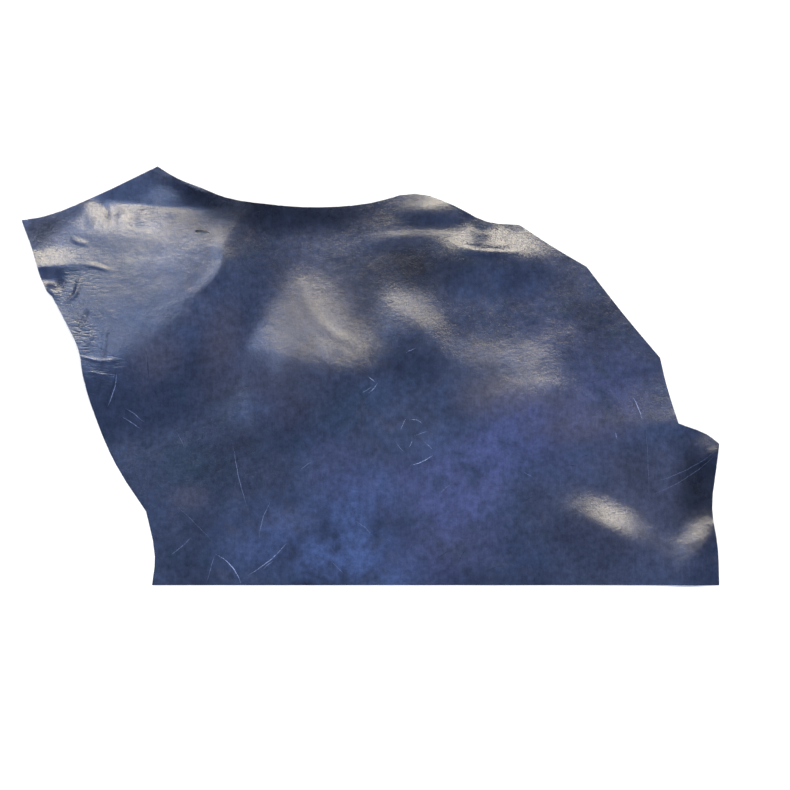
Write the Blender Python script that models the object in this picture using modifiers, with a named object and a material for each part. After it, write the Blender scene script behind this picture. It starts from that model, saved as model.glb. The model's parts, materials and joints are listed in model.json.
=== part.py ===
"""Half leather hide: one drum-dyed sheet lying grain side up on a flat surface, with its billows.

Metres, +Z up. The straight edge is the cut along the backbone. The underside lies flat on z = 0
wherever no billow lifts it. The tables below measure x from the hide's left tip and y from the
backbone cut; the model is then centred on the middle of its outline.
"""

import math

import bmesh
import bpy
from mathutils import Vector

LENGTH = 1.500  # left tip to right corner
DEPTH = 0.900  # backbone cut to the corner of the foreleg
THICKNESS = 0.0025  # shaved thickness of the leather
CELL = 0.018  # spacing of the mesh over the sheet
OUTLINE_STEPS = 3  # points on each stretch of the outline
WELD = 0.0025  # points of the cut outline closer than this become one

# The outline, clockwise from the left end of the backbone cut: x, y, how the edge turns there.
OUTLINE = [
    (0.280, 0.000, "corner"),
    (0.286, 0.062, "smooth"),
    (0.267, 0.159, "corner"),
    (0.202, 0.260, "smooth"),
    (0.163, 0.350, "smooth"),
    (0.133, 0.450, "smooth"),
    (0.124, 0.505, "smooth"),
    (0.093, 0.570, "smooth"),
    (0.066, 0.621, "corner"),
    (0.054, 0.633, "smooth"),
    (0.022, 0.725, "smooth"),
    (0.000, 0.785, "corner"),
    (0.052, 0.794, "smooth"),
    (0.155, 0.835, "smooth"),
    (0.293, 0.900, "corner"),
    (0.336, 0.874, "smooth"),
    (0.387, 0.854, "smooth"),
    (0.439, 0.833, "smooth"),
    (0.530, 0.819, "smooth"),
    (0.646, 0.813, "smooth"),
    (0.750, 0.822, "smooth"),
    (0.846, 0.842, "smooth"),
    (0.930, 0.816, "smooth"),
    (1.000, 0.782, "smooth"),
    (1.070, 0.775, "corner"),
    (1.140, 0.729, "smooth"),
    (1.215, 0.685, "corner"),
    (1.291, 0.587, "smooth"),
    (1.373, 0.489, "corner"),
    (1.386, 0.433, "smooth"),
    (1.412, 0.348, "corner"),
    (1.472, 0.325, "smooth"),
    (1.500, 0.304, "corner"),
    (1.494, 0.252, "smooth"),
    (1.485, 0.166, "smooth"),
    (1.496, 0.080, "smooth"),
    (1.500, 0.000, "corner"),
]

# The billows. Each crest runs from start to end, highest at peak, a share of its length, and bows
# to its left by bow at the middle. The right and left widths are the reach of its two slopes, seen
# along the crest. A larger taper draws the ends in sooner, and roundness, right then left, is 2 for
# a soft swell and less for a crest closer to a crease.
# name, start, end, peak, bow, right_width, left_width, height, taper, roundnesses
BILLOWS = [
    ("foreleg", (-0.337, 0.417), (0.527, 1.251), 0.50, -0.360, 0.210, 0.400, 0.0220, 0.6, 1.6, 1.6),
    ("foreleg_edge", (-0.059, 0.708), (0.459, 0.762), 0.50, 0.000, 0.200, 0.100, 0.0015, 0.6, 2.0, 2.0),
    ("flap_edge", (0.070, 0.800), (0.620, 0.800), 0.40, 0.130, 0.100, 0.050, 0.0095, 0.6, 1.7, 1.7),
    ("neck_corner", (-0.040, 0.880), (0.050, 0.640), 0.40, 0.000, 0.040, 0.090, 0.0040, 0.6, 1.5, 1.5),
    ("neck_curl", (-0.060, 0.775), (0.160, 0.836), 0.46, 0.004, 0.075, 0.040, 0.0052, 0.5, 1.4, 1.4),
    ("strip_curl", (0.235, 0.925), (0.810, 0.830), 0.46, -0.050, 0.080, 0.040, 0.0058, 0.5, 1.3, 1.3),
    ("ribs", (0.462, 0.520), (0.850, 0.438), 0.30, -0.020, 0.200, 0.225, 0.0180, 1.1, 2.0, 1.5),
    ("middle", (0.766, 0.640), (0.925, 0.458), 0.56, 0.000, 0.150, 0.076, 0.0064, 0.9, 2.0, 1.9),
    ("middle_low", (0.813, 0.486), (1.205, 0.404), 0.74, 0.000, 0.140, 0.118, 0.0068, 0.6, 2.0, 1.7),
    ("belly", (0.846, 0.734), (1.184, 0.704), 0.45, -0.010, 0.100, 0.078, 0.0062, 0.6, 2.0, 1.4),
    ("belly_peak", (0.792, 0.813), (0.994, 0.807), 0.50, 0.000, 0.050, 0.035, 0.0040, 0.6, 2.0, 1.5),
    ("flank", (1.190, 0.312), (1.556, 0.372), 0.55, 0.000, 0.040, 0.110, 0.0042, 0.6, 1.8, 1.8),
    ("flank_tip", (1.399, 0.312), (1.567, 0.260), 0.60, 0.000, 0.050, 0.050, 0.0040, 0.6, 2.0, 1.6),
    ("back_right", (1.136, 0.187), (1.410, 0.026), 0.50, 0.000, 0.090, 0.084, 0.0110, 0.6, 2.0, 1.5),
    ("back_edge", (1.179, -0.019), (1.351, -0.019), 0.50, 0.000, 0.040, 0.040, 0.0040, 0.6, 2.0, 1.7),
    ("back_corner", (1.385, -0.085), (1.500, 0.165), 0.50, 0.000, 0.060, 0.085, 0.0120, 0.6, 2.0, 1.6),
]

# The cut that the skinning knife left: a tapering slit through the sheet.
SLIT_BLUNT_END = (0.373, 0.761)
SLIT_LENGTH = 0.032
SLIT_WIDTH = 0.010
SLIT_TURN = -6.0
SLIT_CORNERS = 10
CUTTER_HEIGHT = 0.080


def billow_height(x, y, start, end, peak, bow, right_width, left_width, height, taper, *roundnesses):
    """Height that one billow adds at (x, y). Towards both ends it gets lower and narrower."""
    run, rise = end[0] - start[0], end[1] - start[1]
    length = math.hypot(run, rise)
    along = ((x - start[0]) * run + (y - start[1]) * rise) / length**2
    across = ((y - start[1]) * run - (x - start[0]) * rise) / length - 4.0 * bow * along * (1.0 - along)
    from_peak = (along - peak) / (peak if along < peak else 1.0 - peak)
    share = max(0.0, 1.0 - from_peak**2)
    if share == 0.0:
        return 0.0
    width = (left_width if across > 0.0 else right_width) * share**taper
    roundness = roundnesses[1] if across > 0.0 else roundnesses[0]
    fall = min(1.0, abs(across) / width) ** roundness
    return height * share ** (taper + 0.9) * (1.0 - fall) ** 2


def lift(x, y):
    """Height of the underside above the surface that the hide lies on."""
    return sum(billow_height(x, y, *sizes) for _, *sizes in BILLOWS)


def new_collection(name):
    collection = bpy.data.collections.new(name)
    bpy.context.scene.collection.children.link(collection)
    return collection


def leather_material():
    material = bpy.data.materials.new("waxed_leather")
    material.use_nodes = True
    shader = material.node_tree.nodes["Principled BSDF"]
    shader.inputs["Base Color"].default_value = (0.035, 0.050, 0.120, 1.0)
    shader.inputs["Roughness"].default_value = 0.30
    shader.inputs["Metallic"].default_value = 0.0
    return material


def outline_mesh():
    """The outline as a closed loop of edges, read from a curve."""
    curve = bpy.data.curves.new("outline", "CURVE")
    curve.dimensions = "2D"
    curve.fill_mode = "NONE"
    curve.resolution_u = OUTLINE_STEPS
    spline = curve.splines.new("BEZIER")
    spline.use_cyclic_u = True
    spline.bezier_points.add(len(OUTLINE) - 1)
    for point, (x, y, turn) in zip(spline.bezier_points, OUTLINE):
        handle = "VECTOR" if turn == "corner" else "AUTO"
        point.co = (x, y, 0.0)
        point.handle_left_type = point.handle_right_type = handle
    guide = bpy.data.objects.new("outline", curve)
    bpy.context.scene.collection.objects.link(guide)
    bpy.context.view_layer.update()
    graph = bpy.context.evaluated_depsgraph_get()
    mesh = bpy.data.meshes.new_from_object(guide.evaluated_get(graph))
    bpy.data.objects.remove(guide)
    return mesh


def cut_into_cells(bm, axis, reach):
    """Cut every face at each grid line that crosses the axis, from 0 to reach."""
    cells = round(reach / CELL)
    for i in range(1, cells):
        place = Vector((0.0, 0.0, 0.0))
        normal = Vector((0.0, 0.0, 0.0))
        place[axis] = reach * i / cells
        normal[axis] = 1.0
        geometry = bm.verts[:] + bm.edges[:] + bm.faces[:]
        bmesh.ops.bisect_plane(bm, geom=geometry, dist=0.0005, plane_co=place, plane_no=normal)


def weld_onto(bm, verts, kept):
    """Weld points that lie close to a kept one onto it, so the outline stays where it is."""
    close = bmesh.ops.find_doubles(bm, verts=verts, keep_verts=kept, dist=WELD)
    bmesh.ops.weld_verts(bm, targetmap=close["targetmap"])


def flat_sheet():
    """The hide's outline as one flat sheet of square cells."""
    bm = bmesh.new()
    bm.from_mesh(outline_mesh())
    bmesh.ops.remove_doubles(bm, verts=bm.verts, dist=0.0005)
    bmesh.ops.contextual_create(bm, geom=bm.edges[:])
    drawn = bm.verts[:]
    cut_into_cells(bm, axis=0, reach=LENGTH)
    cut_into_cells(bm, axis=1, reach=DEPTH)
    weld_onto(bm, [vert for vert in bm.verts if vert.is_boundary], drawn)
    bmesh.ops.remove_doubles(bm, verts=[vert for vert in bm.verts if vert.is_boundary], dist=WELD)
    weld_onto(bm, bm.verts, [vert for vert in bm.verts if vert.is_boundary])
    bm.normal_update()
    if sum(face.normal.z for face in bm.faces) < 0.0:
        bmesh.ops.reverse_faces(bm, faces=bm.faces[:])
    return bm


def hide_object(collection):
    """The sheet, raised along its billows and given its thickness upwards from the underside."""
    bm = flat_sheet()
    for vert in bm.verts:
        vert.co.z = lift(vert.co.x, vert.co.y)
    bmesh.ops.translate(bm, verts=bm.verts, vec=(-LENGTH / 2, -DEPTH / 2, 0.0))
    mesh = bpy.data.meshes.new("hide")
    bm.to_mesh(mesh)
    bm.free()
    mesh.shade_smooth()
    mesh.materials.append(leather_material())
    hide = bpy.data.objects.new("hide", mesh)
    collection.objects.link(hide)
    wall = hide.modifiers.new("thickness", "SOLIDIFY")
    wall.thickness = THICKNESS
    wall.offset = 1.0
    wall.use_even_offset = True
    return hide


def slit_cutter(collection):
    """A prism with the slit's teardrop outline, blunt at one end and pointed at the other."""
    bm = bmesh.new()
    bmesh.ops.create_circle(bm, cap_ends=True, segments=SLIT_CORNERS, radius=1.0)
    for vert in bm.verts:
        along = (vert.co.x + 1.0) / 2.0
        vert.co.y *= SLIT_WIDTH / 2.0 * (1.0 - 0.7 * along)
        vert.co.x = along * SLIT_LENGTH
    raised = bmesh.ops.extrude_face_region(bm, geom=bm.faces[:])["geom"]
    top = [item for item in raised if isinstance(item, bmesh.types.BMVert)]
    bmesh.ops.translate(bm, verts=top, vec=(0.0, 0.0, CUTTER_HEIGHT))
    bmesh.ops.recalc_face_normals(bm, faces=bm.faces[:])
    mesh = bpy.data.meshes.new("slit")
    bm.to_mesh(mesh)
    bm.free()
    cutter = bpy.data.objects.new("slit", mesh)
    x, y = SLIT_BLUNT_END
    cutter.location = (x - LENGTH / 2, y - DEPTH / 2, -CUTTER_HEIGHT / 4)
    cutter.rotation_euler.z = math.radians(SLIT_TURN)
    cutter.hide_render = True
    cutter.display_type = "WIRE"
    collection.objects.link(cutter)
    return cutter


def main():
    for obj in list(bpy.data.objects):
        bpy.data.objects.remove(obj)
    hide = hide_object(new_collection("leather_hide"))
    slit = hide.modifiers.new("slit", "BOOLEAN")
    slit.operation = "DIFFERENCE"
    slit.object = slit_cutter(new_collection("cutters"))


main()
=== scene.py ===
"""A waxed blue half hide lying grain side up on a studio floor, seen from straight above."""
import json
import math

import bmesh
import bpy
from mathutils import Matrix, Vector, noise
from mathutils.bvhtree import BVHTree
from mathutils.geometry import interpolate_bezier, intersect_point_line

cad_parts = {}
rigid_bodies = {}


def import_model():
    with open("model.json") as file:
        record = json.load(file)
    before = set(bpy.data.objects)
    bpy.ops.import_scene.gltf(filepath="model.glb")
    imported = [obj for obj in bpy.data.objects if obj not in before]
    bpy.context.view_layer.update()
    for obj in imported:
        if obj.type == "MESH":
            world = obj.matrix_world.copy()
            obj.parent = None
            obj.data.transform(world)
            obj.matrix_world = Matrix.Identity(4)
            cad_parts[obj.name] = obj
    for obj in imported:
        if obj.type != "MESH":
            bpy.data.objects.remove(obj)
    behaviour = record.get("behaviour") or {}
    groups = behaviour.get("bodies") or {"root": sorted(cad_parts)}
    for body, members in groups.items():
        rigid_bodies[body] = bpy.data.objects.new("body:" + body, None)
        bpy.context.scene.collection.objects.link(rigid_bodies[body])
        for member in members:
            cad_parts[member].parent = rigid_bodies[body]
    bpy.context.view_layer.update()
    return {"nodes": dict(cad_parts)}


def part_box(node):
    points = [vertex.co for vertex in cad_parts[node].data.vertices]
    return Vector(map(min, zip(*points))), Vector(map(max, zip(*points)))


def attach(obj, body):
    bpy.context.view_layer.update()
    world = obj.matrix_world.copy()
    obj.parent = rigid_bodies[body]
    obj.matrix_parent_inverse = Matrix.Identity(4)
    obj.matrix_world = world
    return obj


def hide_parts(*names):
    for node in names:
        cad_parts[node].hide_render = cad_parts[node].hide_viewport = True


for old in list(bpy.data.objects):
    bpy.data.objects.remove(old)
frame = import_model()

# ---------------------------------------------------------------------------------------------
# The hide: one sheet of drum-dyed, waxed cattle leather, shaved to an even thickness and
# trimmed with a knife. It lies on its flesh side, so the grain faces up. Its soft billows are
# the solid's; the folds and creases that are finer than those are pressed in here.

THICKNESS = 0.0025
CELL = 0.006  # spacing of the mesh over the grain
FINE_CELL = 0.003  # its spacing on the wrinkled neck
SLIVER = 0.0008  # points closer than this become one
SLIT_X = -0.360  # the sheet is split here while it is cut, because this line crosses its slit
SMOOTHING = 14  # passes that turn the solid's flat facets into one soft surface
WELD = 0.00001  # corners of the solid's loose triangles that are closer than this are one
GRAIN_FACES_UP = 0.5  # the least upward share of a normal on the grain side
ON_LINE = 0.0001  # a point this close to a cutting line lies on it
MANY_CORNERS = 8  # a face with more lies along the outline, and may reach past its cell
NECK_LOW, NECK_HIGH = (0.0, 0.37), (0.30, 0.80)  # corners of the finely meshed neck
UP = Vector((0.0, 0.0, 1.0))
TIP_X, CUT_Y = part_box("hide")[0][0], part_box("hide")[0][1]


def on_hide(x, y):
    """A place measured from the neck's tip and from the backbone cut, in the frame."""
    return Vector((TIP_X + x, CUT_Y + y, 0.0))


def cut_across(bm, axis, place, faces=None):
    """Cut the given faces, or else all of them, along one straight line."""
    point, normal = Vector((0.0, 0.0, 0.0)), Vector((0.0, 0.0, 0.0))
    point[axis], normal[axis] = place, 1.0
    faces = bm.faces[:] if faces is None else faces
    geometry = list({item for face in faces for item in (*face.verts, *face.edges, face)})
    bmesh.ops.bisect_plane(bm, geom=geometry, dist=ON_LINE, plane_co=point, plane_no=normal)


def cut_between(bm, low, high, cell):
    """Cut the faces between two corners along evenly spaced lines."""
    for axis in (0, 1):
        cells = round((high[axis] - low[axis]) / cell)
        for i in range(1, cells):
            place = low[axis] + (high[axis] - low[axis]) * i / cells
            crossed = []
            for face in bm.faces:
                middle = face.calc_center_bounds()
                near = abs(middle[axis] - place) < CELL or len(face.verts) > MANY_CORNERS
                if near and low.x < middle.x < high.x and low.y < middle.y < high.y:
                    crossed.append(face)
            cut_across(bm, axis, place, crossed)


grain_side = bmesh.new()
grain_side.from_mesh(frame["nodes"]["hide"].data)
bmesh.ops.remove_doubles(grain_side, verts=grain_side.verts, dist=WELD)
under = [face for face in grain_side.faces if face.normal.z < GRAIN_FACES_UP]
bmesh.ops.delete(grain_side, geom=under, context="FACES")
solid_top = BVHTree.FromBMesh(grain_side)

# The outline is cut into square cells while it is flat, and then laid over the solid.
sheet = grain_side.copy()
for vert in sheet.verts:
    vert.co.z = 0.0
cut_across(sheet, 0, SLIT_X)
for side in (-1.0, 1.0):
    half = [face for face in sheet.faces if (face.calc_center_median().x - SLIT_X) * side > 0.0]
    bmesh.ops.dissolve_faces(sheet, faces=half)
low, high = (Vector(corner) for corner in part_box("hide"))
for axis in (0, 1):
    cells = round((high[axis] - low[axis]) / CELL)
    for i in range(1, cells):
        cut_across(sheet, axis, low[axis] + (high[axis] - low[axis]) * i / cells)
bmesh.ops.remove_doubles(sheet, verts=sheet.verts, dist=SLIVER)
for vert in sheet.verts:
    above = vert.co + UP
    hit = solid_top.ray_cast(above, -UP)[0] or solid_top.find_nearest(vert.co + UP * THICKNESS)[0]
    vert.co.z = hit.z
for _ in range(SMOOTHING):
    bmesh.ops.smooth_vert(sheet, verts=sheet.verts, factor=0.5, use_axis_z=True)
cut_between(sheet, on_hide(*NECK_LOW), on_hide(*NECK_HIGH), FINE_CELL)

# Each line is seen from its first point. Rise is below zero for a trough, and the tapers are the
# shares of its length over which it comes up at its start and dies away at its end.
# points, right reach, left reach, rise, roundness, start taper, end taper
CREASES = [
    # the flap over the slit, and the step where the foreleg lies lower than the ribs
    (((0.114, 0.850), (0.170, 0.831), (0.275, 0.816), (0.362, 0.811), (0.448, 0.805), (0.566, 0.790)),
     0.085, 0.060, -0.0023, 1.2, 0.15, 0.90),
    (((0.495, 0.818), (0.439, 0.742), (0.435, 0.695), (0.409, 0.652), (0.318, 0.592)),
     0.030, 0.032, 0.0018, 1.2, 0.30, 0.40),
    (((0.170, 0.831), (0.275, 0.816), (0.362, 0.811), (0.448, 0.805)), 0.012, 0.012, -0.0006, 1.5, 0.3, 0.4),
    (((0.300, 0.892), (0.345, 0.868), (0.400, 0.846), (0.470, 0.826)), 0.058, 0.020, 0.0036, 1.3, 0.5, 0.5),
    # the curled edge of the neck with its pocket, and the first neck fold
    (((-0.026, 0.667), (0.060, 0.686), (0.189, 0.695)), 0.030, 0.045, 0.0030, 1.5, 0.0, 0.60),
    (((0.050, 0.642), (0.067, 0.633), (0.080, 0.607)), 0.013, 0.016, 0.0010, 1.7, 0.4, 0.4),
    (((0.030, 0.662), (0.065, 0.656), (0.100, 0.650)), 0.026, 0.028, -0.0026, 1.8, 0.2, 0.5),
    # the puckers in front of the slit, and the swell that turns them to the light
    (((0.080, 0.752), (0.140, 0.768), (0.230, 0.769), (0.300, 0.760)), 0.054, 0.058, 0.0008, 1.8, 0.3, 0.6),
    (((0.262, 0.838), (0.310, 0.832), (0.360, 0.818)), 0.070, 0.030, 0.0014, 1.8, 0.4, 0.4),
    (((0.147, 0.826), (0.150, 0.795), (0.144, 0.762)), 0.020, 0.018, 0.0010, 1.8, 0.5, 0.5),
    (((0.172, 0.834), (0.180, 0.805), (0.188, 0.776)), 0.012, 0.011, -0.0010, 1.6, 0.4, 0.5),
    (((0.212, 0.822), (0.216, 0.795), (0.208, 0.764)), 0.018, 0.016, 0.0009, 1.8, 0.5, 0.5),
    (((0.250, 0.816), (0.258, 0.790), (0.250, 0.766)), 0.016, 0.018, 0.0007, 1.8, 0.5, 0.5),
    (((0.322, 0.808), (0.318, 0.785), (0.326, 0.762)), 0.018, 0.016, -0.0006, 1.8, 0.5, 0.5),
    # neck wrinkles
    (((0.084, 0.605), (0.112, 0.622), (0.123, 0.648), (0.138, 0.678)), 0.010, 0.008, 0.0009, 1.6, 0.4, 0.4),
    (((0.129, 0.689), (0.161, 0.686), (0.204, 0.671)), 0.009, 0.009, 0.0007, 1.6, 0.4, 0.4),
    (((0.103, 0.745), (0.148, 0.730)), 0.009, 0.010, 0.0006, 1.7, 0.4, 0.4),
    (((0.142, 0.598), (0.136, 0.575), (0.123, 0.549)), 0.007, 0.008, -0.0006, 1.6, 0.4, 0.4),
    (((0.159, 0.549), (0.146, 0.527), (0.131, 0.499)), 0.009, 0.008, 0.0005, 1.6, 0.4, 0.4),
    (((0.185, 0.568), (0.181, 0.536), (0.176, 0.489), (0.172, 0.463)), 0.010, 0.009, 0.0005, 1.6, 0.3, 0.4),
    (((0.204, 0.471), (0.200, 0.443), (0.189, 0.415), (0.179, 0.383)), 0.009, 0.008, 0.0007, 1.7, 0.3, 0.4),
    (((0.263, 0.514), (0.273, 0.489), (0.273, 0.467), (0.271, 0.437)), 0.008, 0.009, 0.0006, 1.7, 0.4, 0.4),
    (((0.129, 0.493), (0.174, 0.482), (0.220, 0.486)), 0.007, 0.007, 0.0007, 1.6, 0.3, 0.3),
    (((0.142, 0.461), (0.194, 0.448)), 0.007, 0.007, 0.0006, 1.6, 0.3, 0.3),
    # the dimple and the lines of the belly
    (((0.968, 0.806), (0.984, 0.772), (1.002, 0.736)), 0.028, 0.030, -0.0020, 2.0, 0.4, 0.4),
    (((1.038, 0.790), (1.046, 0.762), (1.060, 0.734)), 0.020, 0.022, -0.0007, 2.0, 0.4, 0.4),
    (((0.706, 0.734), (0.830, 0.752), (0.953, 0.750)), 0.040, 0.016, 0.0010, 1.6, 0.5, 0.3),
    (((0.928, 0.738), (0.968, 0.725), (1.001, 0.721), (1.050, 0.719), (1.095, 0.721)),
     0.022, 0.013, 0.0013, 1.5, 0.3, 0.4),
    (((0.964, 0.779), (0.986, 0.777), (1.007, 0.770)), 0.012, 0.010, 0.0007, 1.6, 0.3, 0.3),
    # the line down the ribs, and the low ridges behind them
    (((0.592, 0.700), (0.604, 0.640), (0.622, 0.590), (0.668, 0.545), (0.750, 0.500)),
     0.024, 0.018, 0.0008, 1.5, 0.4, 0.4),
    (((1.090, 0.530), (1.160, 0.515), (1.230, 0.480)), 0.080, 0.060, 0.0014, 1.8, 0.4, 0.4),
    (((0.900, 0.332), (1.060, 0.336), (1.260, 0.310)), 0.110, 0.130, 0.0050, 2.0, 0.45, 0.45),
    # the flank's fold line and its long pulled creases
    (((1.420, 0.352), (1.341, 0.334), (1.250, 0.322)), 0.045, 0.016, 0.0010, 1.5, 0.0, 0.6),
    (((1.500, 0.293), (1.433, 0.260), (1.360, 0.222)), 0.012, 0.010, 0.0007, 1.6, 0.1, 0.5),
    (((1.500, 0.286), (1.448, 0.258), (1.356, 0.196)), 0.010, 0.010, 0.0006, 1.6, 0.1, 0.5),
]
LINE_STEPS = 7  # points on each stretch of a crease


def soft_line(points):
    """Closely spaced points of a soft line through the given ones."""
    around = [2 * points[0] - points[1], *points, 2 * points[-1] - points[-2]]
    line = []
    for before, start, end, after in zip(around, around[1:], around[2:], around[3:]):
        handles = start + (end - before) / 6, end - (after - start) / 6
        line += interpolate_bezier(start, *handles, end, LINE_STEPS)[:-1]
    return line + [points[-1]]


def ease(share):
    share = min(max(share, 0.0), 1.0)
    return share * share * (3.0 - 2.0 * share)


def press_crease(bm, points, right_reach, left_reach, rise, roundness, start_taper, end_taper):
    """Raise the grain along a line, or sink it, with a slope of its own on each side."""
    line = soft_line([on_hide(*point) for point in points])
    reach = max(right_reach, left_reach)
    west, east = min(p.x for p in line) - reach, max(p.x for p in line) + reach
    south, north = min(p.y for p in line) - reach, max(p.y for p in line) + reach
    for vert in bm.verts:
        if not (west < vert.co.x < east and south < vert.co.y < north):
            continue
        spot = Vector((vert.co.x, vert.co.y, 0.0))
        nearest, along, left = reach, 0.0, False
        for i, (start, end) in enumerate(zip(line, line[1:])):
            share = intersect_point_line(spot, start, end)[1]
            share = min(max(share, 0.0), 1.0)
            offset = spot - start.lerp(end, share)
            if offset.length < nearest:
                nearest, along = offset.length, (i + share) / (len(line) - 1)
                left = (end - start).cross(offset).z > 0.0
        fall = min(nearest / (left_reach if left else right_reach), 1.0) ** roundness
        taper = ease(along / start_taper) if start_taper else 1.0
        taper *= ease((1.0 - along) / end_taper) if end_taper else 1.0
        vert.co.z += rise * taper * (1.0 - fall) ** 2


for points, *sizes in CREASES:
    press_crease(sheet, points, *sizes)

# What the drum and the drying rack leave: the whole sheet is a little uneven.
# waves to a metre, height
UNEVENNESS = [(9.0, 0.00055), (24.0, 0.00020), (60.0, 0.00010)]
RAISED = 0.3  # keeps most of the unevenness above the solid
for waves, height in UNEVENNESS:
    for vert in sheet.verts:
        vert.co.z += height * (noise.noise(vert.co * waves) + RAISED)
for vert in sheet.verts:
    vert.co.z = max(vert.co.z, THICKNESS)
for edge in sheet.edges:
    edge.smooth = not edge.is_boundary
if sum(face.normal.z for face in sheet.faces) < 0.0:
    bmesh.ops.reverse_faces(sheet, faces=sheet.faces[:])

mesh = bpy.data.meshes.new("half_hide")
sheet.to_mesh(mesh)
sheet.free()
grain_side.free()
for polygon in mesh.polygons:
    polygon.use_smooth = True
half_hide = bpy.data.objects.new("half_hide", mesh)
bpy.context.scene.collection.objects.link(half_hide)
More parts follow.
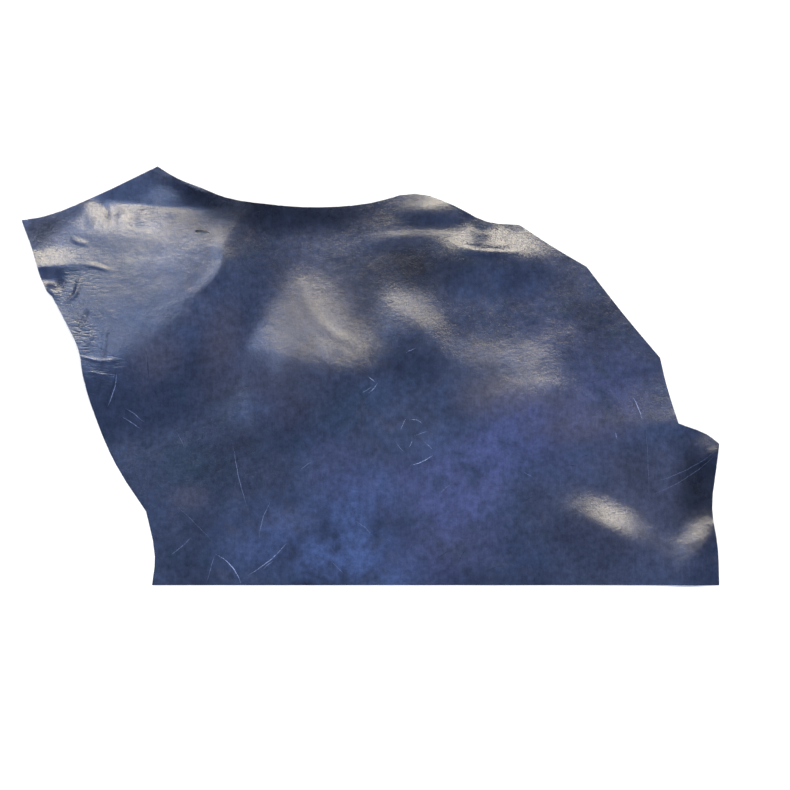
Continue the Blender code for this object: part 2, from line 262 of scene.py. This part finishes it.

# Where the dye and the wax lie thicker, where handling has burnished them and where they have
# stayed dull. Some dark zones are painted shade, where the flap, the curled top edge and the
# faces between the bright patches turn away from the light. The brown zones are a warm grey tone
# that also paints sheen around the reflections, and the violet ones beside the bright patches on
# the ribs and the flank are painted sheen too. Each zone fades out from its middle, and a
# burnished one below zero is scuffed.
# kind, x, y, half length, half width, turn in degrees, strength
ZONES = [
    ("wax", 0.470, 0.365, 0.120, 0.060, 20, 0.25),
    ("wax", 0.600, 0.110, 0.240, 0.130, 10, 0.58),
    ("wax", 0.735, 0.195, 0.110, 0.080, 15, 0.80),
    ("wax", 0.738, 0.045, 0.170, 0.100, 0, 0.85),
    ("wax", 0.900, 0.300, 0.070, 0.070, 0, 0.35),
    ("wax", 0.980, 0.505, 0.160, 0.060, -10, 0.22),
    ("wax", 1.060, 0.060, 0.130, 0.060, 0, 0.20),
    ("wax", 1.090, 0.640, 0.110, 0.050, -20, 0.20),
    ("wax", 1.200, 0.245, 0.100, 0.090, 30, 0.25),
    ("violet_and_sheen", 0.684, 0.247, 0.110, 0.090, 0, 0.60),
    ("violet_and_sheen", 0.860, 0.220, 0.150, 0.110, 20, 0.75),
    ("violet_and_sheen", 0.920, 0.095, 0.180, 0.120, 30, 0.70),
    ("violet_and_sheen", 1.000, 0.265, 0.220, 0.115, 50, 0.95),
    # painted sheen: violet glow beside the bright patches of the ribs and the flank
    ("violet_and_sheen", 1.130, 0.560, 0.120, 0.090, -40, 0.25),
    ("violet_and_sheen", 1.160, 0.350, 0.240, 0.150, 25, 0.45),
    ("violet_and_sheen", 1.280, 0.450, 0.150, 0.110, -60, 0.45),
    # painted shade: the neck's corner beside the flap, where it turns away from the light
    ("dark_and_shade", 0.030, 0.730, 0.040, 0.050, 0, 0.60),
    ("dark_and_shade", 0.060, 0.770, 0.075, 0.030, 20, 0.80),
    ("dark_and_shade", 0.220, 0.380, 0.120, 0.150, 30, 0.45),
    ("dark_and_shade", 0.370, 0.470, 0.100, 0.060, 40, 0.30),
    # painted shade on the flap over the slit
    ("dark_and_shade", 0.400, 0.850, 0.180, 0.055, -20, 1.00),
    ("dark_and_shade", 0.420, 0.270, 0.180, 0.120, 0, 0.22),
    ("dark_and_shade", 0.490, 0.620, 0.060, 0.110, -20, 0.25),
    ("dark_and_shade", 0.560, 0.600, 0.080, 0.160, 20, 0.20),
    # painted shade: the curled top edge, and the faces between and above the bright patches on the ribs
    ("dark_and_shade", 0.620, 0.800, 0.420, 0.065, -1, 0.90),
    ("dark_and_shade", 0.750, 0.620, 0.050, 0.080, 20, 0.50),
    ("dark_and_shade", 0.850, 0.690, 0.160, 0.080, 0, 1.00),
    ("dark_and_shade", 1.010, 0.010, 0.160, 0.040, 0, 0.30),
    ("dark_and_shade", 1.210, 0.100, 0.130, 0.080, -15, 0.30),
    ("dark_and_shade", 1.225, 0.545, 0.070, 0.080, 0, 0.25),
    ("dark_and_shade", 1.330, 0.250, 0.070, 0.070, 0, 0.30),
    ("dark_and_shade", 1.460, 0.225, 0.075, 0.130, 0, 1.00),
    ("dark_and_shade", 1.480, 0.060, 0.050, 0.120, 0, 0.50),
    ("wrinkled", 0.130, 0.560, 0.120, 0.210, 15, 1.00),
    ("wrinkled", 0.200, 0.770, 0.230, 0.060, 8, 0.50),
    ("wrinkled", 0.220, 0.430, 0.120, 0.110, 0, 0.55),
    ("burnished", 0.070, 0.715, 0.080, 0.040, 0, 0.80),
    ("burnished", 0.220, 0.790, 0.150, 0.070, 4, 1.00),
    ("burnished", 0.330, 0.680, 0.180, 0.110, 0, 0.50),
    ("burnished", 1.010, 0.745, 0.150, 0.055, -4, 0.65),
    ("burnished", 1.090, 0.385, 0.200, 0.100, 5, -1.60),
    ("dull", 0.230, 0.650, 0.120, 0.070, 0, 0.30),
    ("dull", 0.240, 0.735, 0.180, 0.030, -2, 0.35),
    ("dull", 0.280, 0.500, 0.130, 0.070, 35, 0.40),
    ("dull", 0.385, 0.785, 0.120, 0.062, 0, 0.80),
    ("dull", 0.465, 0.755, 0.045, 0.100, -10, 1.00),
    ("dull", 0.590, 0.560, 0.110, 0.190, 10, 0.95),
    ("dull", 0.715, 0.610, 0.075, 0.110, 10, 0.90),
    ("dull", 0.830, 0.832, 0.060, 0.032, 0, 0.80),
    ("dull", 0.840, 0.690, 0.140, 0.055, 0, 0.70),
    ("dull", 0.840, 0.752, 0.130, 0.030, 3, 0.65),
    ("dull", 0.860, 0.600, 0.090, 0.080, -45, 0.65),
    ("dull", 0.985, 0.762, 0.034, 0.045, 0, 0.55),
    ("dull", 1.000, 0.480, 0.180, 0.100, -5, 0.75),
    ("dull", 1.000, 0.770, 0.090, 0.050, 0, 0.20),
    ("dull", 1.195, 0.185, 0.070, 0.045, -35, 0.80),
    ("dull", 1.345, 0.110, 0.050, 0.040, -35, 0.70),
    ("dull", 1.370, 0.390, 0.120, 0.080, 0, 0.80),
    ("brown_and_sheen", 0.060, 0.765, 0.090, 0.045, 15, 0.80),
    ("brown_and_sheen", 0.290, 0.490, 0.090, 0.070, 30, 0.60),
    ("brown_and_sheen", 0.360, 0.190, 0.060, 0.040, 0, 0.60),
    ("brown_and_sheen", 0.430, 0.540, 0.060, 0.110, -20, 0.60),
    ("brown_and_sheen", 0.520, 0.430, 0.200, 0.140, 0, 0.45),
    ("brown_and_sheen", 0.570, 0.140, 0.080, 0.040, 0, 0.50),
    ("brown_and_sheen", 0.640, 0.620, 0.130, 0.090, -30, 0.50),
    ("brown_and_sheen", 0.930, 0.090, 0.120, 0.080, 0, 0.35),
    # painted sheen: warm glow below the bright patches of the ribs and the flank
    ("brown_and_sheen", 1.020, 0.405, 0.120, 0.070, 0, 1.00),
    ("brown_and_sheen", 1.150, 0.360, 0.120, 0.080, 10, 0.90),
    ("brown_and_sheen", 1.250, 0.340, 0.110, 0.050, 10, 0.50),
    ("brown_and_sheen", 1.300, 0.160, 0.260, 0.250, 0, 0.38),
    ("teal", 0.355, 0.260, 0.080, 0.070, 0, 0.60),
    ("teal", 0.460, 0.380, 0.080, 0.070, 0, 0.60),
    ("teal", 0.700, 0.380, 0.120, 0.060, 20, 0.40),
]
ATTRIBUTES = {
    "bloom_and_painted_light": ("wax", "violet_and_sheen", "dark_and_shade", "wrinkled"),
    "finish_and_painted_sheen": ("burnished", "dull", "brown_and_sheen", "teal"),
}

weights = {kind: [0.0] * len(mesh.vertices) for kinds in ATTRIBUTES.values() for kind in kinds}
for kind, x, y, half_length, half_width, turn, strength in ZONES:
    cosine, sine = math.cos(math.radians(turn)), math.sin(math.radians(turn))
    for vert in mesh.vertices:
        away = vert.co - on_hide(x, y)
        if abs(away.x) > half_length + half_width or abs(away.y) > half_length + half_width:
            continue
        along, across = away.x * cosine + away.y * sine, away.y * cosine - away.x * sine
        fall = (along / half_length) ** 2 + (across / half_width) ** 2
        weights[kind][vert.index] += strength * max(0.0, 1.0 - fall) ** 1.5
for name, kinds in ATTRIBUTES.items():
    attribute = mesh.color_attributes.new(name, "FLOAT_COLOR", "POINT")
    for value, *shares in zip(attribute.data, *(weights[kind] for kind in kinds)):
        value.color = [min(share, 1.0) for share in shares]

# Marks from fences, horns and handling: pale where the wax is scratched open, dark where it
# has filled a cut. The dark lines along the neck's wrinkles and puckers are painted shade in
# their creases, and the wide dark mark at the slit is a painted shadow under its lip. Each is an
# arc from its start to its end that bows to its left, or below zero to its right.
# kind, start, end, bow, width, strength
MARKS = [
    ("pale", (0.129, 0.493), (0.174, 0.482), 0.0010, 0.0011, 0.80),
    ("pale", (0.142, 0.461), (0.194, 0.448), 0.0010, 0.0010, 0.45),
    ("pale", (0.176, 0.493), (0.220, 0.486), 0.0010, 0.0010, 0.60),
    ("pale", (0.205, 0.455), (0.186, 0.385), 0.0040, 0.0014, 0.60),
    ("pale", (0.215, 0.364), (0.258, 0.334), 0.0010, 0.0010, 0.60),
    ("pale", (0.224, 0.381), (0.263, 0.351), 0.0010, 0.0010, 0.60),
    ("pale", (0.331, 0.334), (0.349, 0.297), 0.0010, 0.0009, 0.35),
    ("pale", (0.334, 0.170), (0.415, 0.090), 0.0010, 0.0008, 0.30),
    ("pale", (0.364, 0.103), (0.321, 0.065), 0.0010, 0.0009, 0.50),
    ("pale", (0.415, 0.069), (0.396, 0.006), 0.0010, 0.0009, 0.40),
    ("pale", (0.417, 0.067), (0.471, 0.002), 0.0100, 0.0014, 1.00),
    ("pale", (0.454, 0.306), (0.486, 0.164), -0.0040, 0.0012, 0.40),
    ("pale", (0.486, 0.022), (0.570, 0.093), -0.0060, 0.0012, 0.85),
    ("pale", (0.519, 0.034), (0.542, 0.054), 0.0005, 0.0010, 0.55),
    ("pale", (0.536, 0.183), (0.510, 0.103), -0.0040, 0.0010, 0.50),
    ("pale", (0.598, 0.247), (0.624, 0.265), 0.0010, 0.0009, 0.35),
    ("pale", (0.663, 0.054), (0.695, 0.022), 0.0010, 0.0009, 0.35),
    ("pale", (0.717, 0.140), (0.753, 0.108), 0.0020, 0.0009, 0.40),
    ("pale", (0.745, 0.448), (0.760, 0.437), 0.0005, 0.0012, 0.90),
    ("pale", (0.753, 0.428), (0.730, 0.415), 0.0010, 0.0010, 0.50),
    ("pale", (0.766, 0.435), (0.745, 0.413), 0.0020, 0.0012, 0.80),
    ("pale", (0.805, 0.310), (0.822, 0.286), -0.0010, 0.0009, 0.45),
    ("pale", (0.816, 0.336), (0.826, 0.359), 0.0010, 0.0010, 0.70),
    ("pale", (0.826, 0.501), (0.848, 0.510), 0.0005, 0.0010, 0.60),
    ("pale", (0.831, 0.355), (0.863, 0.346), 0.0050, 0.0010, 0.70),
    ("pale", (0.833, 0.295), (0.841, 0.310), 0.0005, 0.0010, 0.70),
    ("pale", (0.835, 0.258), (0.884, 0.280), -0.0030, 0.0014, 1.00),
    ("pale", (0.844, 0.321), (0.874, 0.331), 0.0010, 0.0009, 0.50),
    ("pale", (0.865, 0.310), (0.884, 0.291), 0.0005, 0.0010, 0.60),
    ("pale", (0.900, 0.198), (0.925, 0.220), 0.0010, 0.0009, 0.40),
    ("pale", (1.072, 0.247), (1.102, 0.230), 0.0010, 0.0009, 0.35),
    ("pale", (1.276, 0.331), (1.280, 0.314), 0.0005, 0.0012, 0.60),
    ("pale", (1.313, 0.407), (1.336, 0.355), 0.0010, 0.0013, 0.90),
    ("pale", (1.341, 0.355), (1.349, 0.183), 0.0020, 0.0012, 0.16),
    ("pale", (1.496, 0.286), (1.356, 0.196), 0.0100, 0.0012, 0.20),
    ("pale", (1.496, 0.291), (1.360, 0.222), 0.0080, 0.0012, 0.24),
    # painted shade in the creases of the neck and the puckers, as far as the slit
    ("dark_and_shade", (0.084, 0.607), (0.110, 0.624), -0.0020, 0.0022, 0.90),
    ("dark_and_shade", (0.103, 0.700), (0.060, 0.738), 0.0030, 0.0022, 0.55),
    ("dark_and_shade", (0.108, 0.622), (0.136, 0.684), -0.0040, 0.0024, 0.65),
    ("dark_and_shade", (0.142, 0.600), (0.123, 0.549), 0.0030, 0.0022, 0.75),
    ("dark_and_shade", (0.159, 0.566), (0.133, 0.498), 0.0030, 0.0024, 0.85),
    ("dark_and_shade", (0.170, 0.689), (0.206, 0.671), 0.0020, 0.0022, 0.75),
    ("dark_and_shade", (0.176, 0.829), (0.185, 0.781), 0.0010, 0.0022, 0.80),
    ("dark_and_shade", (0.186, 0.568), (0.176, 0.474), 0.0030, 0.0018, 0.40),
    ("dark_and_shade", (0.205, 0.470), (0.180, 0.385), 0.0040, 0.0018, 0.60),
    ("dark_and_shade", (0.263, 0.516), (0.271, 0.438), 0.0060, 0.0026, 0.50),
    ("dark_and_shade", (0.362, 0.747), (0.323, 0.710), 0.0020, 0.0016, 0.80),
    # painted shadow under the slit's lip
    ("dark_and_shade", (0.370, 0.769), (0.404, 0.760), 0.0010, 0.0050, 1.00),
    ("dark_and_shade", (0.684, 0.166), (0.710, 0.176), 0.0010, 0.0011, 0.40),
    ("dark_and_shade", (0.753, 0.297), (0.770, 0.286), 0.0010, 0.0012, 0.50),
    ("dark_and_shade", (0.893, 0.056), (0.919, 0.075), 0.0010, 0.0013, 0.80),
    ("dark_and_shade", (0.938, 0.049), (0.958, 0.082), 0.0010, 0.0013, 0.80),
    ("dark_and_shade", (1.001, 0.032), (1.037, 0.043), 0.0010, 0.0013, 0.70),
    ("dark_and_shade", (1.054, 0.355), (1.072, 0.355), 0.0010, 0.0012, 0.50),
    ("dark_and_shade", (1.072, 0.176), (1.104, 0.192), 0.0010, 0.0012, 0.70),
    ("dark_and_shade", (1.128, 0.297), (1.141, 0.280), 0.0010, 0.0011, 0.50),
    ("dark_and_shade", (1.162, 0.454), (1.184, 0.463), 0.0010, 0.0011, 0.50),
    ("dark_and_shade", (1.179, 0.258), (1.194, 0.256), 0.0005, 0.0016, 0.90),
    ("dark_and_shade", (1.203, 0.275), (1.220, 0.280), 0.0010, 0.0012, 0.60),
    ("dark_and_shade", (1.240, 0.501), (1.257, 0.512), 0.0010, 0.0011, 0.40),
]


def new_finish(name):
    """A new material, with the nodes and links that the functions below then work on."""
    made = bpy.data.materials.new(name)
    made.use_nodes = True
    return made, made.node_tree.nodes, made.node_tree.links


def put(socket, value):
    """Set a socket to a value, or link it to another socket."""
    if isinstance(value, bpy.types.NodeSocket):
        links.new(value, socket)
    else:
        socket.default_value = value


def fill(made, *values, **named):
    """Fill a node's inputs in order or by name."""
    for socket, value in zip(made.inputs, values):
        put(socket, value)
    for name, value in named.items():
        put(made.inputs[name.replace("_", " ")], value)


def node(kind, *values, **named):
    made = nodes.new("ShaderNode" + kind)
    fill(made, *values, **named)
    return made


def maths(operation, *values):
    made = node("Math", *values)
    made.operation = operation
    return made.outputs[0]


def vector_maths(operation, *values):
    made = node("VectorMath", *values)
    made.operation = operation
    return made.outputs["Value" if operation == "DISTANCE" else "Vector"]


def weights_of(name):
    """The four shares that were written to the surface under one name."""
    made = node("Attribute")
    made.attribute_name = name
    return *node("SeparateColor", made.outputs["Color"]).outputs[:3], made.outputs["Alpha"]


def spread(value, low, high, new_low=0.0, new_high=1.0):
    return node("MapRange", value, low, high, new_low, new_high).outputs[0]


def tint(share, below, above):
    """One colour turning into another by a share."""
    made = nodes.new("ShaderNodeMix")
    made.data_type = "RGBA"
    for socket, value in zip((made.inputs[0], made.inputs[6], made.inputs[7]), (share, below, above)):
        put(socket, value)
    return made.outputs[2]


def cloud(place, scale, detail=4.0, roughness=0.6):
    return node("TexNoise", Vector=place, Scale=scale, Detail=detail, Roughness=roughness)


waxed_grain, nodes, links = new_finish("waxed_grain")
place = node("TexCoord").outputs["Object"]
wax, violet_and_sheen, dark_and_shade, wrinkled = weights_of("bloom_and_painted_light")
burnished, dull, brown_and_sheen, teal = weights_of("finish_and_painted_sheen")
drum_clouds = cloud(place, 4.5, 5.0, 0.62).outputs[0]
patches = cloud(place, 17.0, 6.0, 0.66).outputs[0]
mottle = cloud(place, 75.0, 5.0, 0.70).outputs[0]
grain = cloud(place, 150.0, 4.0, 0.6).outputs[0]
pores = node("TexVoronoi", Vector=place, Scale=620.0).outputs["Distance"]
stretched = node("Mapping", Vector=place, Scale=(330.0, 36.0, 36.0)).outputs[0]
brushed = cloud(stretched, 1.0, 3.0, 0.6).outputs[0]
drift = vector_maths("MULTIPLY_ADD", cloud(place, 7.0, 3.0).outputs["Color"], (0.03, 0.03, 0.0), place)
swept = node("Mapping", Vector=drift, Rotation=(0.0, 0.0, 0.12), Scale=(170.0, 30.0, 30.0)).outputs[0]
streaks = cloud(swept, 1.0, 4.0, 0.65).outputs[0]

BLUE_BLACK = (0.0135, 0.0200, 0.0440, 1.0)
DYED_BLUE = (0.0260, 0.0390, 0.0850, 1.0)
TEAL = (0.0135, 0.0290, 0.0540, 1.0)
# warm grey: a random tone of the leather, and in the brown zones also a painted warm sheen
BROWN_GREY_AND_SHEEN = (0.0440, 0.0470, 0.0770, 1.0)
CORNFLOWER = (0.0400, 0.0660, 0.1700, 1.0)
# violet: the leather's own colour in the lower middle, and beside the bright patches a painted sheen
VIOLET_AND_SHEEN = (0.0430, 0.0560, 0.1420, 1.0)
# near black: dark dye and filled cuts, and also painted shade on the flap, the curled top edge, between the
# bright patches, in the neck's creases and under the slit's lip
NEAR_BLACK_AND_SHADE = (0.0060, 0.0090, 0.0200, 1.0)
OPENED_WAX = (0.2000, 0.2600, 0.4800, 1.0)

colour = tint(spread(drum_clouds, 0.36, 0.62), BLUE_BLACK, DYED_BLUE)
teal_share = maths("MULTIPLY", spread(patches, 0.52, 0.66), spread(drum_clouds, 0.58, 0.42, 0.0, 0.6))
colour = tint(maths("MAXIMUM", teal_share, teal), colour, TEAL)
# a random warm grey tone, which the brown zones also use as a painted sheen
brown_share = maths("MULTIPLY", spread(patches, 0.48, 0.34), spread(drum_clouds, 0.44, 0.62, 0.0, 0.5))
colour = tint(maths("MAXIMUM", brown_share, brown_and_sheen), colour, BROWN_GREY_AND_SHEEN)
colour = tint(maths("MULTIPLY", wax, spread(patches, 0.36, 0.60, 0.15, 1.0)), colour, CORNFLOWER)
# violet zones: dye, and beside the bright patches a painted sheen
colour = tint(maths("MULTIPLY", violet_and_sheen, spread(patches, 0.64, 0.40, 0.25, 1.0)), colour, VIOLET_AND_SHEEN)
# dark zones: darker dye, and in places painted shade
colour = tint(maths("MULTIPLY", dark_and_shade, spread(patches, 0.35, 0.55, 0.70, 1.0)), colour, NEAR_BLACK_AND_SHADE)
shade = maths("MULTIPLY", spread(mottle, 0.28, 0.72, 0.68, 1.32), spread(brushed, 0.30, 0.70, 0.92, 1.08))
colour = vector_maths("MULTIPLY", colour, shade)

# The marks waver a little and are broken up along their length.
waver = vector_maths("SUBTRACT", cloud(place, 45.0, 3.0).outputs["Color"], (0.5, 0.5, 0.5))
wavering = vector_maths("MULTIPLY_ADD", waver, (0.006, 0.006, 0.0), place)
flat_place = vector_maths("MULTIPLY", wavering, (1.0, 1.0, 0.0))
marked = {"pale": 0.0, "dark_and_shade": 0.0}
for kind, start, end, bow, width, strength in MARKS:
    start, end = on_hide(*start), on_hide(*end)
    chord = end - start
    left = Vector((-chord.y, chord.x, 0.0)).normalized()
    radius = (chord.length_squared / 4.0 + bow**2) / (2.0 * abs(bow))
    middle = (start + end) / 2.0 + left * bow
    centre = middle - left * math.copysign(radius, bow)
    from_middle = vector_maths("DISTANCE", flat_place, middle)
    half_width = spread(from_middle, chord.length * 0.15, chord.length * 0.52, width / 2.0, 0.0)
    on_arc = maths("COMPARE", vector_maths("DISTANCE", flat_place, centre), radius, half_width)
    marked[kind] = maths("MULTIPLY_ADD", on_arc, strength, marked[kind])
broken = spread(cloud(place, 260.0, 3.0).outputs[0], 0.36, 0.56, 0.25, 1.0)
pale_marks = maths("MULTIPLY", maths("MINIMUM", marked["pale"], 1.0), broken)
dark_and_shade_marks = maths("MULTIPLY", maths("MINIMUM", marked["dark_and_shade"], 1.0), broken)
colour = tint(pale_marks, colour, OPENED_WAX)
# dark marks: filled cuts, painted shade in the neck's creases and a painted shadow at the slit
colour = tint(dark_and_shade_marks, colour, NEAR_BLACK_AND_SHADE)

# Fine growth lines run across the wrinkled neck, in patches.
across = node("Mapping", Vector=wavering, Rotation=(0.0, 0.0, 0.5), Scale=(36.0, 120.0, 36.0)).outputs[0]
growth = node("TexVoronoi", Vector=across, Scale=1.0)
growth.feature = "DISTANCE_TO_EDGE"
growth_lines = maths("MULTIPLY", spread(growth.outputs["Distance"], 0.0, 0.20, 1.0, 0.0), wrinkled)
growth_lines = maths("MULTIPLY", growth_lines, spread(patches, 0.42, 0.62))

bumps = (
    # height, strength, depth
    (cloud(place, 34.0, 5.0, 0.62).outputs[0], 0.20, 0.0020),
    (streaks, 0.18, 0.0006),
    (mottle, 0.24, 0.0008),
    (grain, 0.20, 0.0004),
    (pores, 0.22, 0.0004),
    (growth_lines, 0.22, -0.0012),
)
normal = None
for height, strength, depth in bumps:
    bump = node("Bump", Strength=strength, Distance=abs(depth), Height=height)
    bump.invert = depth < 0.0
    if normal is not None:
        links.new(normal, bump.inputs["Normal"])
    normal = bump.outputs[0]

# Wax polishes the grain and brushing leaves faint streaks in it. Dull leather is rougher, and
# mirrors less.
polish = maths("MULTIPLY_ADD", mottle, 0.06, 0.110)
polish = maths("MULTIPLY_ADD", brushed, 0.03, polish)
polish = maths("MULTIPLY_ADD", spread(streaks, 0.32, 0.68), spread(burnished, 0.0, 1.0, 0.02, 0.12), polish)
polish = maths("MULTIPLY_ADD", burnished, -0.08, polish)
polish = maths("MULTIPLY_ADD", dull, 0.06, polish)
polish = maths("MULTIPLY_ADD", pale_marks, 0.20, polish)
mirror = spread(dull, 0.0, 1.0, 0.50, 0.18)
fill(nodes["Principled BSDF"], Base_Color=colour, Roughness=polish, Specular_IOR_Level=mirror, Normal=normal)

# The flesh side is raw and fibrous, and the knife leaves the edge of the sheet matt and dark.
flesh_side, nodes, links = new_finish("dyed_flesh_side")
place = node("TexCoord").outputs["Object"]
nap = cloud(place, 420.0, 4.0, 0.7).outputs[0]
buffed = cloud(place, 9.0, 4.0, 0.6).outputs[0]
fleece = tint(spread(buffed, 0.35, 0.65), (0.075, 0.092, 0.150, 1.0), (0.120, 0.138, 0.200, 1.0))
fleece = tint(spread(nap, 0.30, 0.70), fleece, (0.060, 0.072, 0.115, 1.0))
raised_nap = node("Bump", Strength=0.6, Distance=0.0006, Height=nap).outputs[0]
fill(nodes["Principled BSDF"], Base_Color=fleece, Roughness=0.92, Specular_IOR_Level=0.15, Normal=raised_nap)

cut_edge, nodes, links = new_finish("knife_cut_edge")
layered = node("Mapping", Vector=node("TexCoord").outputs["Object"], Scale=(500.0, 500.0, 1600.0)).outputs[0]
fibres = cloud(layered, 1.0, 3.0).outputs[0]
raw_edge = tint(fibres, (0.016, 0.020, 0.036, 1.0), (0.050, 0.060, 0.095, 1.0))
torn = node("Bump", Strength=0.5, Distance=0.0004, Height=fibres).outputs[0]
fill(nodes["Principled BSDF"], Base_Color=raw_edge, Roughness=0.80, Specular_IOR_Level=0.25, Normal=torn)

for material in (waxed_grain, flesh_side, cut_edge):
    mesh.materials.append(material)

wall = half_hide.modifiers.new("thickness", "SOLIDIFY")
wall.thickness = THICKNESS
wall.offset = -1.0
wall.material_offset = 1
wall.material_offset_rim = 2

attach(half_hide, "root")
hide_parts("hide")

# ---------------------------------------------------------------------------------------------
# The studio: a pale floor under a long warm window and a patch of cool sky, both high above the
# far edge of the hide, with the camera straight above.

FLOOR_REACH = 15.0
floor_mesh = bpy.data.meshes.new("floor")
bm = bmesh.new()
bmesh.ops.create_grid(bm, x_segments=1, y_segments=1, size=FLOOR_REACH)
bm.to_mesh(floor_mesh)
bm.free()
floor = bpy.data.objects.new("floor", floor_mesh)
bpy.context.scene.collection.objects.link(floor)
floor_paint, nodes, links = new_finish("floor_paint")
fill(nodes["Principled BSDF"], Base_Color=(0.93, 0.93, 0.93, 1.0), Roughness=1.0, Specular_IOR_Level=0.0)
floor_mesh.materials.append(floor_paint)

# Each softbox faces the middle of the hide.
# name, place, width, depth, radiance, colour
SOFTBOXES = [
    ("window", (0.2, 2.4, 8.0), 6.2, 0.60, 40.0, (1.00, 0.89, 0.70)),
    ("window_surround", (0.2, 2.4, 8.05), 7.0, 1.5, 1.6, (1.00, 0.92, 0.85)),
    ("sky", (-2.3, 1.1, 8.0), 1.6, 1.8, 5.7, (0.67, 0.86, 1.33)),
]
for name, place, width, depth, radiance, colour in SOFTBOXES:
    lamp = bpy.data.lights.new(name, "AREA")
    lamp.shape = "RECTANGLE"
    lamp.size, lamp.size_y = width, depth
    lamp.color = colour
    lamp.energy = radiance * math.pi * width * depth
    softbox = bpy.data.objects.new(name, lamp)
    softbox.location = place
    softbox.rotation_euler = Vector(place).to_track_quat("Z", "Y").to_euler()
    bpy.context.scene.collection.objects.link(softbox)

# The walls glow and the ceiling is dark, so that the grain mirrors mostly the softboxes upwards.
WALL_TOP, CEILING = 0.45, 0.80  # heights in the sky, from 0 at the horizon to 1 overhead
WALL_GLOW, CEILING_GLOW = 2.9, 0.02
world = bpy.data.worlds.new("studio")
world.use_nodes = True
bpy.context.scene.world = world
nodes, links = world.node_tree.nodes, world.node_tree.links
height = node("SeparateXYZ", node("TexCoord").outputs["Generated"]).outputs["Z"]
glow = node("MapRange", height, WALL_TOP, CEILING, WALL_GLOW, CEILING_GLOW)
glow.interpolation_type = "SMOOTHSTEP"
fill(nodes["Background"], Color=(0.88, 0.95, 1.06, 1.0), Strength=glow.outputs[0])

PHOTO_WIDTH = 790  # pixels
HIDE_LENGTH, HIDE_PIXELS = 1.50, 697
SENSOR = 36.0
CAMERA_PLACE = Vector((0.0527, -0.0409, 6.0))
camera_data = bpy.data.cameras.new("camera")
camera_data.sensor_width = SENSOR
camera_data.lens = SENSOR * CAMERA_PLACE.z / (PHOTO_WIDTH * HIDE_LENGTH / HIDE_PIXELS)
camera = bpy.data.objects.new("camera", camera_data)
camera.location = CAMERA_PLACE
bpy.context.scene.collection.objects.link(camera)
bpy.context.scene.camera = camera

bpy.context.scene.view_settings.view_transform = "Standard"
bpy.context.scene.view_settings.look = "None"
